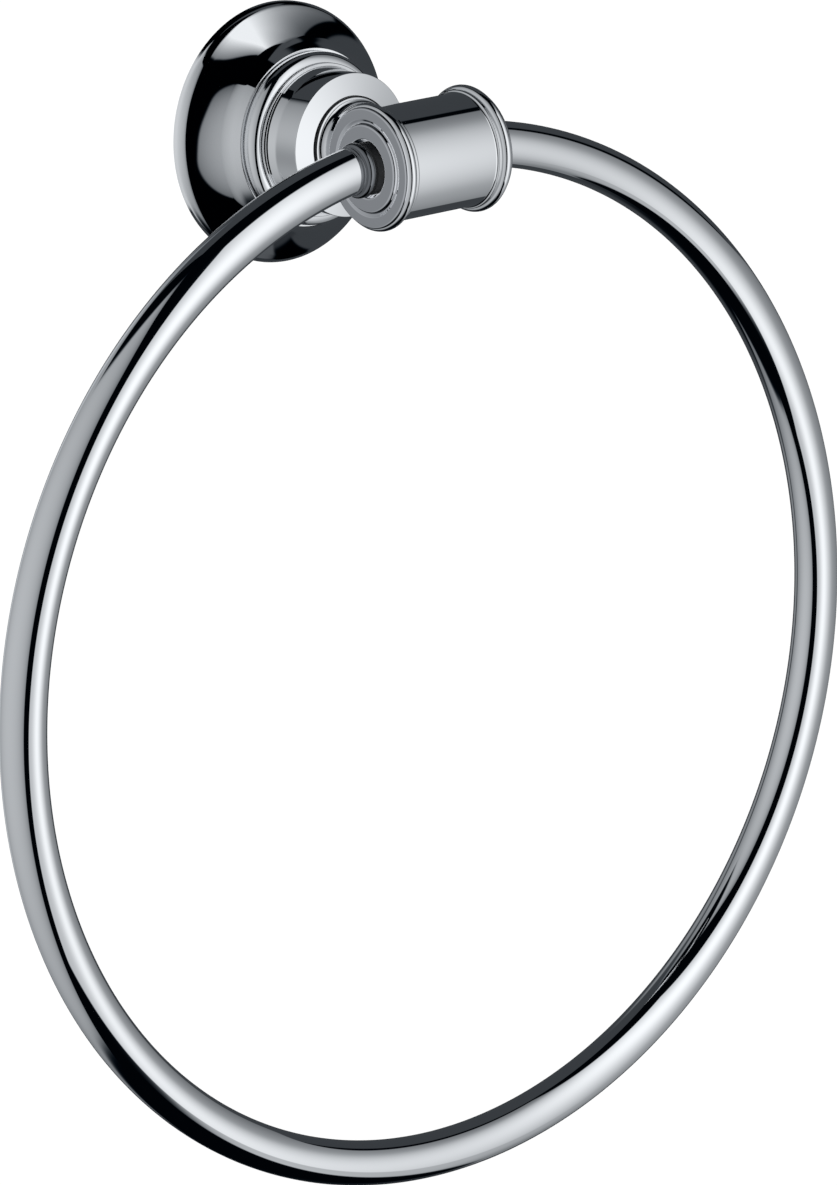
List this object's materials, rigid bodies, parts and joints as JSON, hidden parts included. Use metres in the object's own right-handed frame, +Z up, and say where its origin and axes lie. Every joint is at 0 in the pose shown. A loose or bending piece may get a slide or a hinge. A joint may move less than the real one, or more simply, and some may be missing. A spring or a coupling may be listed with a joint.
{
  "type": "towel ring",
  "caption": "Wall-mounted towel ring: a round ogee rosette and beaded post carry a short cross barrel in which the ends of a hanging ring of round rod turn.",
  "frame": {"origin": "centre of the flat back face, on the wall", "axes": "+Z up, +Y into the wall along the post's axis, +X along the barrel's axis to the right of a viewer who faces the wall"},
  "size_m": [0.19, 0.0505, 0.2077],
  "materials": {
    "chrome_plate": "polished chrome plate",
    "zinc_casting": "plain cast, zinc plated",
    "plain_steel": "plain machined steel",
    "bush_polymer": "black bearing polymer"
  },
  "bodies": {
    "holder": {"wall_bracket": "zinc_casting", "rosette": "chrome_plate", "post": "chrome_plate", "grub_screw": "plain_steel", "barrel_screw": "plain_steel", "spring_washer": "plain_steel", "barrel": "chrome_plate", "end_cap_left": "chrome_plate", "end_cap_right": "chrome_plate", "bush_left": "bush_polymer", "bush_right": "bush_polymer"},
    "ring": {"ring_rod": "chrome_plate", "ferrule_left": "chrome_plate", "ferrule_right": "chrome_plate"}
  },
  "joints": [
    {"name": "ring_swing", "type": "hinge", "parent": "holder", "child": "ring", "pos_m": [0, -0.0394, 0], "axis": [1, 0, 0], "range_deg": [-168, 11]}
  ]
}
